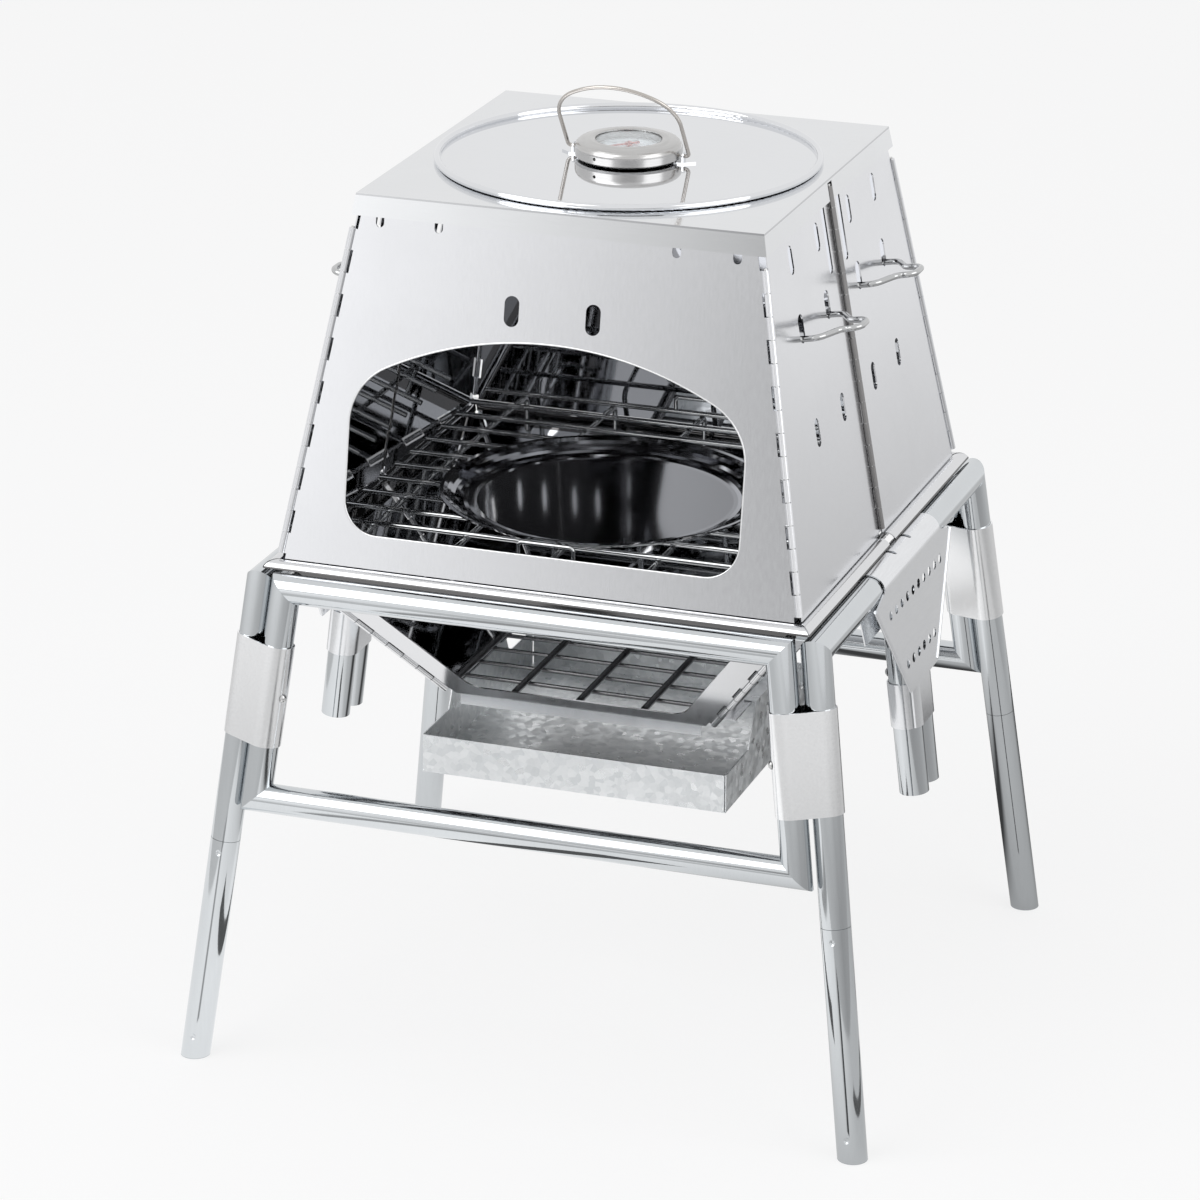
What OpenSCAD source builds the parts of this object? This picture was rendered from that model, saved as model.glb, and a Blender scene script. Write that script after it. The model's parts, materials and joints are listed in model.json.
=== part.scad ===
// Collapsible wood-fired pizza oven: a folding sheet hood over a hopper-shaped fire bowl, on a tube stand.
// Millimetres. The origin is on the ground under the middle of the oven, +Z up, and the mouth faces -Y.

/* [Hood] */
// Outer width of the square hood at its base
hood_w = 376; // [366:1:384]
// Outer width of the hood under its top plate
hood_top_w = 286; // [282:1:290]
// Height of the hood panels
hood_h = 252; // [248:1:258]
// Height of the hood's base edge above the ground
hood_z = 368; // [360:1:376]
// Thickness of the stainless panels
sheet = 1; // [0.8:0.1:1.1]

/* [Mouth] */
// Width of the arched mouth
mouth_w = 284; // [260:1:290]
// Height of the sill above the hood's base edge
sill_h = 22.5; // [20:0.5:26]
// Height of the crown above the hood's base edge
crown_h = 165; // [158:1:170]
// Radius of the crown
crown_r = 260; // [240:5:280]
// Radius of the two shoulders
shoulder_r = 45; // [35:1:55]
// Radius of the corners at the sill
sill_corner_r = 24; // [15:1:30]

/* [Vents] */
// Width of the vent slots
slot_w = 10.5; // [8:0.5:12]
// Length of the vent slots
slot_len = 20; // [18:0.5:22]
// Height of the low slots on the sides, at their middles
low_slot_h = 103; // [95:1:110]
// Height of the handle slots on the sides, at their middles
handle_slot_h = 175; // [170:1:180]
// Height of the high slots on the sides, at their middles
high_slot_h = 222; // [218:1:226]
// Distance of a side panel's near slots from the fold line
slot_near = 37; // [34:1:40]
// Distance of a side panel's far slots from the fold line
slot_far = 96; // [92:1:99]

/* [Hinges] */
// Outer diameter of the rolled knuckles
knuckle_d = 5; // [4.6:0.1:5.4]
// Length of one knuckle with its gap
knuckle_pitch = 15.5; // [15:0.1:15.6]
// Diameter of the hinge wires
pin_d = 2.4; // [2:0.1:2.6]

/* [Top] */
// Outer width of the square top plate at its upper edge
plate_w = 289.5; // [289:0.5:292]
// Height of the plate's skirt
skirt_h = 15; // [12:0.5:16]
// Diameter of the round lid over its rolled rim
lid_d = 270; // [262:1:276]
// Diameter of the hole under the round lid
lid_hole_d = 250; // [240:1:254]

/* [Thermometer] */
// Diameter of the thermometer case
case_d = 75; // [72:1:78]
// Height of the thermometer case
case_h = 13; // [12:0.5:15]
// Diameter of the thermometer glass
glass_d = 48; // [44:1:50]
// Length of the probe under the lid
probe_len = 40; // [30:1:60]

/* [Lid bail] */
// Diameter of the bail's wire
bail_wire_d = 2.8; // [2.4:0.1:3]
// Length of the bail from its pivots to its crown
bail_len = 66; // [60:1:70]
// Forward lean of the bail
bail_lean = 35; // [10:1:45]

/* [Side handles] */
// Diameter of the side handles' wire
handle_wire_d = 4.4; // [4:0.1:4.6]
// Reach of the side handles out of the wall
handle_out = 35; // [34.5:0.5:38]

/* [Fire bowl] */
// Outer width of the hopper at its open bottom
hopper_low_w = 195; // [188:1:202]
// Height of the hopper's bottom edge above the ground
hopper_z = 248; // [240:1:256]
// Width of the folded frame left beside the hopper's window
window_side = 22; // [18:1:28]
// Height of the strip left under the window
window_sill = 11; // [9:1:14]

/* [Grates and pan] */
// Height of the cooking rods above the hood's base edge
rod_h = 15; // [12:1:18]
// Spacing of the cooking rods
rod_pitch = 30.5; // [28:0.5:31]
// Number of cooking rods
rod_count = 12; // [10:2:12]
// Diameter of the cooking rods
rod_d = 4; // [3.6:0.1:4.4]
// Diameter of the pizza pan over its rim
pan_d = 232; // [220:1:236]
// Depth of the pizza pan
pan_h = 10; // [8:0.5:12]
// Distance of the pan's middle in front of the oven's middle
pan_set = 46; // [30:1:48]

/* [Ash tray] */
// Outer width of the ash tray
tray_w = 226; // [222:1:230]
// Height of the tray's upper edge above the ground
tray_top = 219; // [214:1:224]
// Depth of the ash tray
tray_depth = 28; // [22:1:30]

/* [Stand] */
// Diameter of the stand's tubes
tube_d = 21; // [20:0.2:21.4]
// Wall of the stand's tubes
tube_wall = 1.2; // [1:0.1:1.6]
// Distance between the middles of the feet from left to right
foot_span_x = 487; // [470:1:500]
// Distance between the middles of the feet from front to rear
foot_span_y = 452; // [440:1:470]
// Height of the lower rail of the front and rear loops
low_rail_z = 199.5; // [192:0.5:206]
// Height of the joint between the upper and lower legs
leg_joint_z = 163; // [155:1:170]
// Height of the lower ends of the middle posts
post_end_z = 184; // [178:1:190]
// Height of the corner sleeves
sleeve_h = 73; // [60:1:80]
// Width of the lock plates over their shoulders
lock_w = 184; // [178:1:190]
// Width of the lock plates above their post sleeve
lock_low_w = 66; // [58:1:70]
// Drop of the lock plates from the rail to their post sleeve
lock_drop = 85; // [80:1:90]

/* [Hidden] */
$fn = 48;

// Running gap between pieces that move apart
gap = 0.3;
// Fit of the hinge wires in their knuckles
wire_fit = 0.05;

// Hood walls, taken at the middle of the sheet
hood_lean = atan((hood_w - hood_top_w) / 2 / hood_h);
hood_low = hood_w / 2 - sheet / 2 / cos(hood_lean);
hood_high = hood_low - hood_h * tan(hood_lean);
hood_run = hood_h / cos(hood_lean);
plate_top_z = hood_z + hood_h + gap + sheet;

// Hinges
knuckle_gap = 0.7;
knuckle_start = 4;
edge_clear = knuckle_d / 2 + 1.4;
hood_corner_knuckles = 15;
hood_fold_knuckles = 16;
// The hood's fold barrels stand out of its side walls
fold_out = 1.5;
hopper_corner_knuckles = 10;
hopper_fold_knuckles = 8;

// Rails of the stand and the hopper's rolled rim that hangs on them
rail_half = hood_w / 2 + 12;
rail_z = hood_z - 17;
rim_r = 6.2;
rim_half = hood_w / 2 + 2.5;
rim_z = hood_z - gap - rim_r - sheet / 2;
rim_lip_angle = 165;

// Hopper walls, taken at the middle of the sheet
hopper_low = hopper_low_w / 2;
hopper_high = rim_half - rim_r;
hopper_rise = rim_z - hopper_z;
hopper_lean = atan((hopper_high - hopper_low) / hopper_rise);
hopper_run = hopper_rise / cos(hopper_lean);
// The walls run a little way into their rolled rim
rim_lap = 0.4;
wall_run = hopper_run + rim_lap;
wall_high = hopper_high + rim_lap * sin(hopper_lean);
flange_w = 12;
hem_h = 8;

// Stand
tube_r = tube_d / 2;
leg_top_y = rail_half - 9;
loop_x = rail_half - 22;
post_y = 12.5;
splay_x = (foot_span_x / 2 - rail_half) / rail_z;
splay_y = (foot_span_y / 2 - leg_top_y) / rail_z;
leg_norm = norm([splay_x, splay_y, 1]);
tilt_x = -asin(splay_y / leg_norm);
tilt_y = -atan(splay_x);
neck_len = 40;
sleeve_mid_z = hood_z - 91;
sleeve_fit = 0.15;
screw_r = 1.5;
// Middle of the loop's upright, seen along the leg from the leg's own axis
upright_at = [(loop_x - rail_half) * cos(tilt_y),
  (loop_x - rail_half) * sin(tilt_x) * sin(tilt_y) + (leg_top_y - rail_half) * cos(tilt_x)];

// Grates
rod_z = hood_z + rod_h;
rod_len = 340;
carrier_z = rod_z - rod_d + 0.05;
bar_d = 5;
bar_z = hopper_z + 6.6;
bar_pitch = 48;
fine_wire_d = 3;
fine_pitch = 28;

// Lid and thermometer
lid_z = plate_top_z + gap;
lid_top_z = lid_z + 0.8;
bracket_t = 1.2;
case_z = lid_top_z + bracket_t;
case_floor = 2;
glass_t = 1.6;
glass_at = case_h - 1.2 - glass_t;
pivot_x = 42;
pivot_z = lid_top_z + 4.6;
probe_r = 3;
flange_top_z = case_z + case_floor + 2.5;
spindle_r = 1;

steel = "#c8cbce";
bright = "#d9dde0";
wire_steel = "#a9adb1";
dark = "#2b2c2e";
zinc = "#b9c0c4";

function unit(v) = v / norm(v);
function arc(c, r, from, to, steps) =
  [for (i = [0 : steps]) c + r * [cos(from + (to - from) * i / steps), sin(from + (to - from) * i / steps)]];
function mirrored(points) = [for (i = [len(points) - 1 : -1 : 0]) [-points[i][0], points[i][1]]];
function leg_at(z) = [rail_half + (rail_z - z) * splay_x, -leg_top_y - (rail_z - z) * splay_y, z];

// Flat shapes

module obround(w, h) {
  square([w, h - w], center = true);
  for (s = [-1, 1]) translate([0, s * (h - w) / 2]) circle(d = w);
}

// Arched mouth, drawn in the front panel's plane with the base edge on the X axis
module mouth_outline() {
  stretch = 1 / cos(hood_lean);
  half = mouth_w / 2;
  low = sill_h * stretch;
  high = crown_h * stretch;
  shoulder_y = high - crown_r + sqrt(pow(crown_r - shoulder_r, 2) - pow(half - shoulder_r, 2));
  turn = atan2(shoulder_y - high + crown_r, half - shoulder_r);
  right = concat(
    arc([half - sill_corner_r, low + sill_corner_r], sill_corner_r, -90, 0, 8),
    arc([half - shoulder_r, shoulder_y], shoulder_r, 0, turn, 8),
    arc([0, high - crown_r], crown_r, turn + 2, 90, 8));
  polygon(concat(right, mirrored(right)));
}

// Window of the hopper's front panel: a trapezoid with round lower corners
module window_outline() {
  e = atan((hopper_high - hopper_low) / hopper_run);
  r = 16;
  high = hopper_run - 20;
  low_x = hopper_low - window_side / cos(e) + window_sill * tan(e);
  corner = [low_x - r * tan(45 - e / 2), window_sill + r];
  right = concat(arc(corner, r, -90, -e, 8), [[low_x + (high - window_sill) * tan(e), high]]);
  polygon(concat(right, mirrored(right)));
}

// Hinged sheet walls

module knuckle_tabs(count, phase)
  for (i = [phase : 2 : count - 1])
    translate([-edge_clear - 1, knuckle_start + i * knuckle_pitch + knuckle_gap / 2])
      square([edge_clear + 1, knuckle_pitch - knuckle_gap]);

module knuckles(count, phase)
  for (i = [phase : 2 : count - 1])
    translate([0, knuckle_start + i * knuckle_pitch + knuckle_gap / 2, 0])
      rotate([-90, 0, 0]) cylinder(d = knuckle_d, h = knuckle_pitch - knuckle_gap, $fn = 24);

module hinge_bore(count)
  translate([0, knuckle_start - 1, 0])
    rotate([-90, 0, 0]) cylinder(r = pin_d / 2 + wire_fit, h = count * knuckle_pitch + 2, $fn = 24);

module hinge_wire(count, extra)
  translate([0, knuckle_start, 0])
    rotate([-90, 0, 0]) cylinder(d = pin_d, h = count * knuckle_pitch + extra, $fn = 24);

// Places a shape on the edge line of a wall that is 2a wide below and 2b wide above
module on_edge(a, b, run) translate([a, 0, 0]) rotate([0, 0, atan((a - b) / run)]) children();

// A whole wall with knuckles on both corner edges; the children are cut out of its sheet
module end_wall(a, b, run, count) {
  inset = edge_clear / cos(atan((a - b) / run));
  difference() {
    union() {
      linear_extrude(sheet, center = true)
        difference() {
          union() {
            polygon([[inset - a, 0], [a - inset, 0], [b - inset, run], [inset - b, run]]);
            for (s = [0, 1]) mirror([s, 0, 0]) on_edge(a, b, run) knuckle_tabs(count, 0);
          }
          children();
        }
      for (s = [0, 1]) mirror([s, 0, 0]) on_edge(a, b, run) knuckles(count, 0);
    }
    for (s = [0, 1]) mirror([s, 0, 0]) on_edge(a, b, run) hinge_bore(count);
  }
}

// Half of a side wall, left of the fold line, with knuckles on the corner edge and, set out, on the fold
module half_wall(a, b, run, count, fold_count, fold_phase, out = 0) {
  inset = edge_clear / cos(atan((a - b) / run));
  difference() {
    union() {
      linear_extrude(sheet, center = true)
        difference() {
          union() {
            polygon([[inset - a, 0], [-edge_clear, 0], [-edge_clear, run], [inset - b, run]]);
            mirror([1, 0, 0]) on_edge(a, b, run) knuckle_tabs(count, 1);
            knuckle_tabs(fold_count, fold_phase);
          }
          children();
        }
      mirror([1, 0, 0]) on_edge(a, b, run) knuckles(count, 1);
      translate([0, 0, out]) knuckles(fold_count, fold_phase);
    }
    mirror([1, 0, 0]) on_edge(a, b, run) hinge_bore(count);
    translate([0, 0, out]) hinge_bore(fold_count);
  }
}

// Hood

// Wall frame: X along the wall, Y up its slope, Z out of the oven; side 0 is the front, 1 the right
module on_hood(side)
  rotate([0, 0, 90 * side]) translate([0, -hood_low, hood_z]) rotate([90 - hood_lean, 0, 0]) children();

module front_vents() {
  up = 1 / cos(hood_lean);
  middle_x = 29;
  middle_h = 184.5;
  outer_x = [84.5, 127];
  outer_h = 239;
  for (s = [-1, 1]) {
    translate([s * middle_x, middle_h * up]) obround(slot_w, slot_len + 1);
    for (x = outer_x) translate([s * x, outer_h * up]) obround(slot_w - 4.5, slot_len - 4);
  }
}

module side_vents() {
  up = 1 / cos(hood_lean);
  for (x = [-slot_far, -slot_near], h = [low_slot_h, handle_slot_h, high_slot_h])
    translate([x, h * up]) obround(h == handle_slot_h ? slot_w : slot_w - 2, slot_len);
  tall_x = 18;
  tall_h = 216;
  tall_len = 50;
  translate([-tall_x, tall_h * up]) obround(slot_w - 2.5, tall_len);
}

module hood_end(open_front)
  color(steel) end_wall(hood_low, hood_high, hood_run, hood_corner_knuckles)
    if (open_front) {
      mouth_outline();
      front_vents();
    } else {
      front_vents();
    }

module hood_front_panel() on_hood(0) hood_end(true);
module hood_rear_panel() on_hood(2) hood_end(false);

module hood_side(fold_phase)
  color(steel) on_hood(1)
    half_wall(hood_low, hood_high, hood_run, hood_corner_knuckles, hood_fold_knuckles, fold_phase,
      fold_out) side_vents();

module hood_side_front_right() hood_side(0);
module hood_side_rear_right() mirror([0, 1, 0]) hood_side(1);
module hood_side_front_left() mirror([1, 0, 0]) hood_side_front_right();
module hood_side_rear_left() mirror([1, 0, 0]) hood_side_rear_right();

module hood_hinge_wires() color(wire_steel) {
  for (side = [0, 2], s = [0, 1])
    on_hood(side) mirror([s, 0, 0]) on_edge(hood_low, hood_high, hood_run)
      hinge_wire(hood_corner_knuckles, 1);
  for (side = [1, 3]) on_hood(side) translate([0, 0, fold_out]) hinge_wire(hood_fold_knuckles, 1);
}

// Bent wire

// One bend of a wire that runs along +X; a positive turn goes towards +Y
module wire_bend(turn, bend_r, r) {
  s = turn > 0 ? 1 : -1;
  translate([0, s * bend_r, 0])
    rotate([0, 0, s > 0 ? -90 : 90 + turn])
      rotate_extrude(angle = abs(turn)) translate([bend_r, 0]) circle(r = r, $fn = 24);
}

// A wire from the origin along +X; each step is [straight length, turn, bend radius]
module bent_wire(steps, r, i = 0) {
  step = steps[i];
  s = step[1] > 0 ? 1 : -1;
  rotate([0, 90, 0]) cylinder(r = r, h = step[0], $fn = 24);
  if (i + 1 < len(steps))
    translate([step[0], 0, 0]) {
      wire_bend(step[1], step[2], r);
      translate([step[2] * sin(abs(step[1])), s * step[2] * (1 - cos(step[1])), 0])
        rotate([0, 0, step[1]]) bent_wire(steps, r, i + 1);
    }
}

// Points of a path whose corners are bent to the given radii
bend_step = 18;
function corner_arc(from, at, to, r) =
  let (
    before = unit(at - from),
    after = unit(to - at),
    turn = atan2(before[0] * after[1] - before[1] * after[0], before * after),
    start = at - r * tan(abs(turn) / 2) * before,
    centre = start + sign(turn) * r * [-before[1], before[0]],
    spoke = atan2(start[1] - centre[1], start[0] - centre[0]))
  arc(centre, r, spoke, spoke + turn, ceil(abs(turn) / bend_step));
function rounded(p, radii) =
  let (last = len(p) - 1)
  [for (i = [0 : last])
    each i == 0 || i == last ? [p[i]] : corner_arc(p[i - 1], p[i], p[i + 1], radii[i - 1])];

// A wire along half a path and its mirror image, with the bends of the half path
module mirrored_wire(half_path, radii, r) {
  back = [for (i = [len(radii) - 1 : -1 : 0]) radii[i]];
  path = rounded(concat(half_path, mirrored(half_path)), concat(radii, back));
  mitred_bar(path, r, false, 1.35 * r, $fn = 24);
}

// Side handles: a wire loop low in two slots, necked in towards its tip, with its tails behind the wall
module side_handle() color(wire_steel) {
  handle_drop = 7;
  r = handle_wire_d / 2;
  half = (slot_far - slot_near) / 2;
  tail = 13;
  inset = sheet / 2 + r + gap;
  neck_from = 11.2;
  neck_to = 22;
  tip_half = 10.6;
  on_hood(1)
    translate([-(slot_far + slot_near) / 2, (handle_slot_h - handle_drop) / cos(hood_lean), 0]) rotate([90, 0, 0])
      mirrored_wire([[-half - tail, -inset], [-half, -inset], [-half, neck_from], [-tip_half, neck_to],
        [-tip_half, handle_out]], [4, 9, 8, 7.5], r);
}

module side_handle_front_right() side_handle();
module side_handle_rear_right() mirror([0, 1, 0]) side_handle();
module side_handle_front_left() mirror([1, 0, 0]) side_handle();
module side_handle_rear_left() mirror([1, 0, 0]) mirror([0, 1, 0]) side_handle();

// Top plate, lid, bail and thermometer

// Square frustum, made where two trapezoid prisms cross
module frustum(low, high, z0, z1) {
  intersection() {
    rotate([90, 0, 0]) linear_extrude(3 * low, center = true)
      polygon([[-low, z0], [low, z0], [high, z1], [-high, z1]]);
    rotate([90, 0, 90]) linear_extrude(3 * low, center = true)
      polygon([[-low, z0], [low, z0], [high, z1], [-high, z1]]);
  }
}

module top_plate() color(steel) {
  half = plate_w / 2;
  flare = skirt_h * tan(hood_lean);
  inner = sheet / cos(hood_lean);
  under = sheet * tan(hood_lean);
  low_z = plate_top_z - skirt_h;
  notch_w = 9;
  notch_h = skirt_h - 2.5;
  difference() {
    frustum(half + flare, half, low_z, plate_top_z);
    frustum(half + flare - inner + under, half - inner + under, low_z - sheet, plate_top_z - sheet);
    translate([0, 0, low_z]) cylinder(d = lid_hole_d, h = 2 * skirt_h, $fn = 96);
    for (s = [-1, 1]) translate([s * half, 0, low_z]) cube([12, notch_w, 2 * notch_h], center = true);
  }
}

module round_lid() color(bright) {
  rim = 2.4;
  rim_at = lid_d / 2 - rim;
  step_r = lid_hole_d / 2 - 1.5;
  rotate_extrude($fn = 96) {
    translate([probe_r + 0.3, lid_z]) square([rim_at - probe_r - 0.3, lid_top_z - lid_z]);
    translate([step_r - 0.8, lid_z - 6]) square([0.8, 6.4]);
    translate([rim_at, lid_z + rim]) circle(r = rim, $fn = 24);
  }
}

module bail_bracket() color(steel) {
  w = 12;
  point = 7;
  ear_r = 3;
  difference() {
    union() {
      translate([0, 0, lid_top_z]) linear_extrude(bracket_t) {
        square([2 * pivot_x, w], center = true);
        for (s = [0, 1]) mirror([s, 0, 0])
          polygon([[pivot_x - 1, -w / 2], [pivot_x + point, 0], [pivot_x - 1, w / 2]]);
      }
      for (s = [-1, 1])
        translate([s * (pivot_x - 1.8) - bracket_t / 2, 0, lid_top_z]) {
          translate([0, -ear_r, 0]) cube([bracket_t, 2 * ear_r, pivot_z - lid_top_z]);
          translate([0, 0, pivot_z - lid_top_z]) rotate([0, 90, 0]) cylinder(r = ear_r, h = bracket_t);
        }
    }
    translate([-2 * pivot_x, 0, pivot_z]) rotate([0, 90, 0])
      cylinder(d = bail_wire_d + 0.15, h = 4 * pivot_x);
    translate([0, 0, lid_top_z - 1]) cylinder(r = probe_r + gap, h = 2 + bracket_t);
  }
}

module lid_bail() color(wire_steel) {
  r = bail_wire_d / 2;
  foot_r = 3;
  side_r = 30;
  crown_r = 55;
  half = pivot_x + 2.2;
  pin_end = half - 5.6;
  peak = bail_len + crown_r * (1 / cos(30) - 1);
  shoulder = peak - half * tan(30);
  right = [[pin_end, 0], [half, 0], [half, shoulder]];
  path = concat(right, [[0, peak]], mirrored(right));
  translate([0, 0, pivot_z]) rotate([bail_lean, 0, 0]) rotate([90, 0, 0])
    mitred_bar(rounded(path, [foot_r, side_r, crown_r, side_r, foot_r]), r, false, 1.35 * r, $fn = 24);
}

module thermometer_case() color(steel) translate([0, 0, case_z]) {
  r = case_d / 2;
  seat_r = glass_d / 2 + gap;
  bore_r = glass_d / 2 - 1.5;
  lip_z = glass_at + glass_t;
  hole_r = 1.2;
  hole_deep = 5;
  bezel_r = 5.5;
  difference() {
    rotate_extrude($fn = 72)
      polygon(concat([[0, 0], [r - 1.5, 0], [r, 1.5]],
        arc([r - bezel_r, case_h - bezel_r - 1], bezel_r, 0, 75, 6),
        [[seat_r + 3, case_h], [seat_r + 0.6, case_h], [seat_r - 1, case_h - 0.6], [seat_r - 1, lip_z],
        [seat_r, lip_z], [seat_r, glass_at], [bore_r, glass_at], [bore_r, case_floor], [0, case_floor]]));
    translate([0, 0, -1]) cylinder(r = probe_r + 0.2, h = case_floor + 2);
    for (a = [-110, 70])
      rotate([0, 0, a]) translate([r - hole_deep, 0, 5]) rotate([0, 90, 0])
        cylinder(r = hole_r, h = 2 * hole_deep);
  }
}

module thermometer_dial() color("white") translate([0, 0, flange_top_z])
  difference() {
    cylinder(d = glass_d - 3.6, h = 1, $fn = 72);
    translate([0, 0, -1]) cylinder(r = spindle_r + gap, h = 4);
  }

module thermometer_needle() color("#c02a22") translate([0, 0, flange_top_z]) {
  tail = 8;
  point = 19;
  translate([0, 0, -1.5]) cylinder(r = spindle_r, h = 6);
  translate([0, 0, 2.1]) cylinder(r = 2.6, h = 1.6);
  rotate([0, 0, 225]) translate([0, 0, 2.5]) linear_extrude(0.8)
    polygon([[-tail, -1.2], [point, -0.3], [point, 0.3], [-tail, 1.2]]);
}

module thermometer_glass() color("#dfe9ee", 0.4)
  translate([0, 0, case_z + glass_at]) cylinder(d = glass_d, h = glass_t, $fn = 72);

module thermometer_probe() color(wire_steel) {
  low = lid_z - probe_len;
  flange_z = case_z + case_floor;
  difference() {
    union() {
      translate([0, 0, low]) cylinder(r = probe_r, h = flange_top_z - low);
      translate([0, 0, flange_z]) cylinder(r = 2 * probe_r, h = flange_top_z - flange_z);
    }
    translate([0, 0, flange_z - 0.5]) cylinder(r = spindle_r + wire_fit, h = 6);
  }
}

module probe_nut() color(wire_steel) {
  h = 4;
  translate([0, 0, lid_z - h])
    difference() {
      cylinder(r = 6.5, h = h, $fn = 6);
      translate([0, 0, -1]) cylinder(r = probe_r + 0.1, h = h + 2);
    }
}

// Fire bowl

module on_hopper(side)
  rotate([0, 0, 90 * side]) translate([0, -hopper_low, hopper_z]) rotate([90 + hopper_lean, 0, 0]) children();

// Rolled rim along the front of the hopper, kept inside a flat outline so that its ends are mitred
module rolled_rim()
  intersection() {
    translate([0, -rim_half, rim_z]) rotate([90, 0, 90]) linear_extrude(2 * rim_half + 40, center = true)
      difference() {
        intersection() {
          circle(r = rim_r + sheet / 2);
          polygon(concat([[0, 0]], arc([0, 0], 3 * rim_r, -10, rim_lip_angle, 12)));
        }
        circle(r = rim_r - sheet / 2);
      }
    translate([0, 0, rim_z - 20]) linear_extrude(40) children();
  }

module hopper_end(with_window) color(steel) {
  reach = 2 * rim_half;
  on_hopper(0) end_wall(hopper_low, wall_high, wall_run, hopper_corner_knuckles)
    if (with_window) window_outline();
  rolled_rim() polygon([[0, -0.8], [-reach, -reach - 0.8], [reach, -reach - 0.8]]);
  translate([-hopper_low + 8, -hopper_low - sheet / 2, hopper_z - hem_h])
    cube([2 * hopper_low - 16, sheet, hem_h + 0.6]);
}

module hopper_front_panel() hopper_end(true);
module hopper_rear_panel() mirror([0, 1, 0]) hopper_end(false);

module hopper_side(fold_phase) color(steel) {
  reach = 2 * rim_half;
  fold = 7;
  on_hopper(1)
    half_wall(hopper_low, wall_high, wall_run, hopper_corner_knuckles, hopper_fold_knuckles, fold_phase);
  rotate([0, 0, 90]) {
    rolled_rim() polygon([[-fold, -fold - 0.8], [-reach, -reach - 0.8], [-fold, -reach - 0.8]]);
    translate([-hopper_low + 16, -hopper_low - flange_w, hopper_z - sheet / 2])
      cube([hopper_low - 16 - fold, flange_w + 0.5, sheet]);
  }
}

module hopper_side_front_right() hopper_side(0);
module hopper_side_rear_right() mirror([0, 1, 0]) hopper_side(1);
module hopper_side_front_left() mirror([1, 0, 0]) hopper_side_front_right();
module hopper_side_rear_left() mirror([1, 0, 0]) hopper_side_rear_right();

module hopper_hinge_wires() color(wire_steel) {
  for (side = [0, 2], s = [0, 1])
    on_hopper(side) mirror([s, 0, 0]) on_edge(hopper_low, wall_high, wall_run)
      hinge_wire(hopper_corner_knuckles, 1);
  for (side = [1, 3]) on_hopper(side) hinge_wire(hopper_fold_knuckles, 1);
}

// Grates, pan and tray

module rod(d, len) rotate([0, 90, 0]) cylinder(d = d, h = len, center = true, $fn = 24);

module charcoal_grate_bars() color(dark)
  for (i = [-2 : 2]) translate([bar_pitch * i, 0, bar_z]) rotate([0, 0, 90]) rod(bar_d, 2 * hopper_low + 4);

module charcoal_grate_wires() color(wire_steel)
  for (i = [-2.5 : 2.5])
    translate([0, fine_pitch * i, bar_z - (bar_d + fine_wire_d) / 2 + 0.05])
      rod(fine_wire_d, 2 * hopper_low - 1);

module cooking_grate_rods() color(wire_steel)
  for (i = [0 : rod_count - 1])
    translate([0, (i - (rod_count - 1) / 2) * rod_pitch, rod_z]) rod(rod_d, rod_len);

// Carrier wires under the rods, turned down at both ends to stand on the hopper's sloping walls
module cooking_grate_carriers() color(wire_steel) {
  bend = 6;
  half = (rod_count - 1) / 2 * rod_pitch + 1;
  foot_y = half + bend;
  foot_z = rim_z - (hopper_high - foot_y - rod_d / 2) / tan(hopper_lean) + sheet / sin(hopper_lean) + gap;
  drop = carrier_z - bend - foot_z;
  for (x = [-140 : 70 : 140], s = [0, 1])
    translate([x, 0, carrier_z]) mirror([0, s, 0]) rotate([0, 0, 90]) rotate([-90, 0, 0])
      bent_wire([[half, 90, bend], [drop, 0, 0]], rod_d / 2);
}

// Upright wire loops for lifting the grate, seated on its first and last rods
module grate_lift_loops() color(wire_steel) {
  r = 1.5;
  half = 20;
  rise = 6;
  y = (rod_count - 1) / 2 * rod_pitch;
  for (s = [-1, 1])
    translate([-half, s * y, rod_z + rod_d / 2 - 0.05]) rotate([90, 0, 0]) rotate([0, 0, 90])
      bent_wire([[rise, -90, 3], [2 * half - 6, -90, 3], [rise, 0, 0]], r);
}

module pizza_pan() color("#17181a")
  translate([0, -pan_set, rod_z + rod_d / 2 + gap]) {
    r = pan_d / 2;
    t = 1.2;
    lip = 2;
    flank_w = 24;
    flank_h = pan_h - t;
    flat = r - lip - flank_w;
    bowl_r = (flank_w * flank_w + flank_h * flank_h) / 2 / flank_h;
    flank_end = asin(flank_w / bowl_r) - 90;
    middle = [flat, bowl_r];
    rotate_extrude($fn = 96)
      polygon(concat([[0, 0]], arc(middle, bowl_r, -90, flank_end, 8), [[r, flank_h], [r, pan_h]],
        arc(middle, bowl_r - t, flank_end, -90, 8), [[0, t]]));
  }

module ash_tray() color(zinc) {
  t = 0.8;
  half = tray_w / 2;
  low = tray_top - tray_depth;
  corner = 1.2;
  ear_low = 62;
  ear_high = 45;
  lip_z = hopper_z + sheet / 2 + gap;
  lip_w = half - hopper_low - 6;
  translate([-half, -half, low]) cube([tray_w, tray_w, t]);
  for (s = [0, 1]) mirror([0, s, 0])
    translate([corner - half, -half, low]) cube([tray_w - 2 * corner, t, tray_depth]);
  for (s = [0, 1]) mirror([s, 0, 0]) {
    translate([half, 0, 0]) rotate([90, 0, -90]) linear_extrude(t)
      polygon([[corner - half, low], [half - corner, low], [half - corner, tray_top], [ear_low, tray_top],
        [ear_high, lip_z + t], [-ear_high, lip_z + t], [-ear_low, tray_top], [corner - half, tray_top]]);
    translate([half - lip_w, -ear_high, lip_z]) cube([lip_w, 2 * ear_high, t]);
  }
}

// Stand

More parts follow.
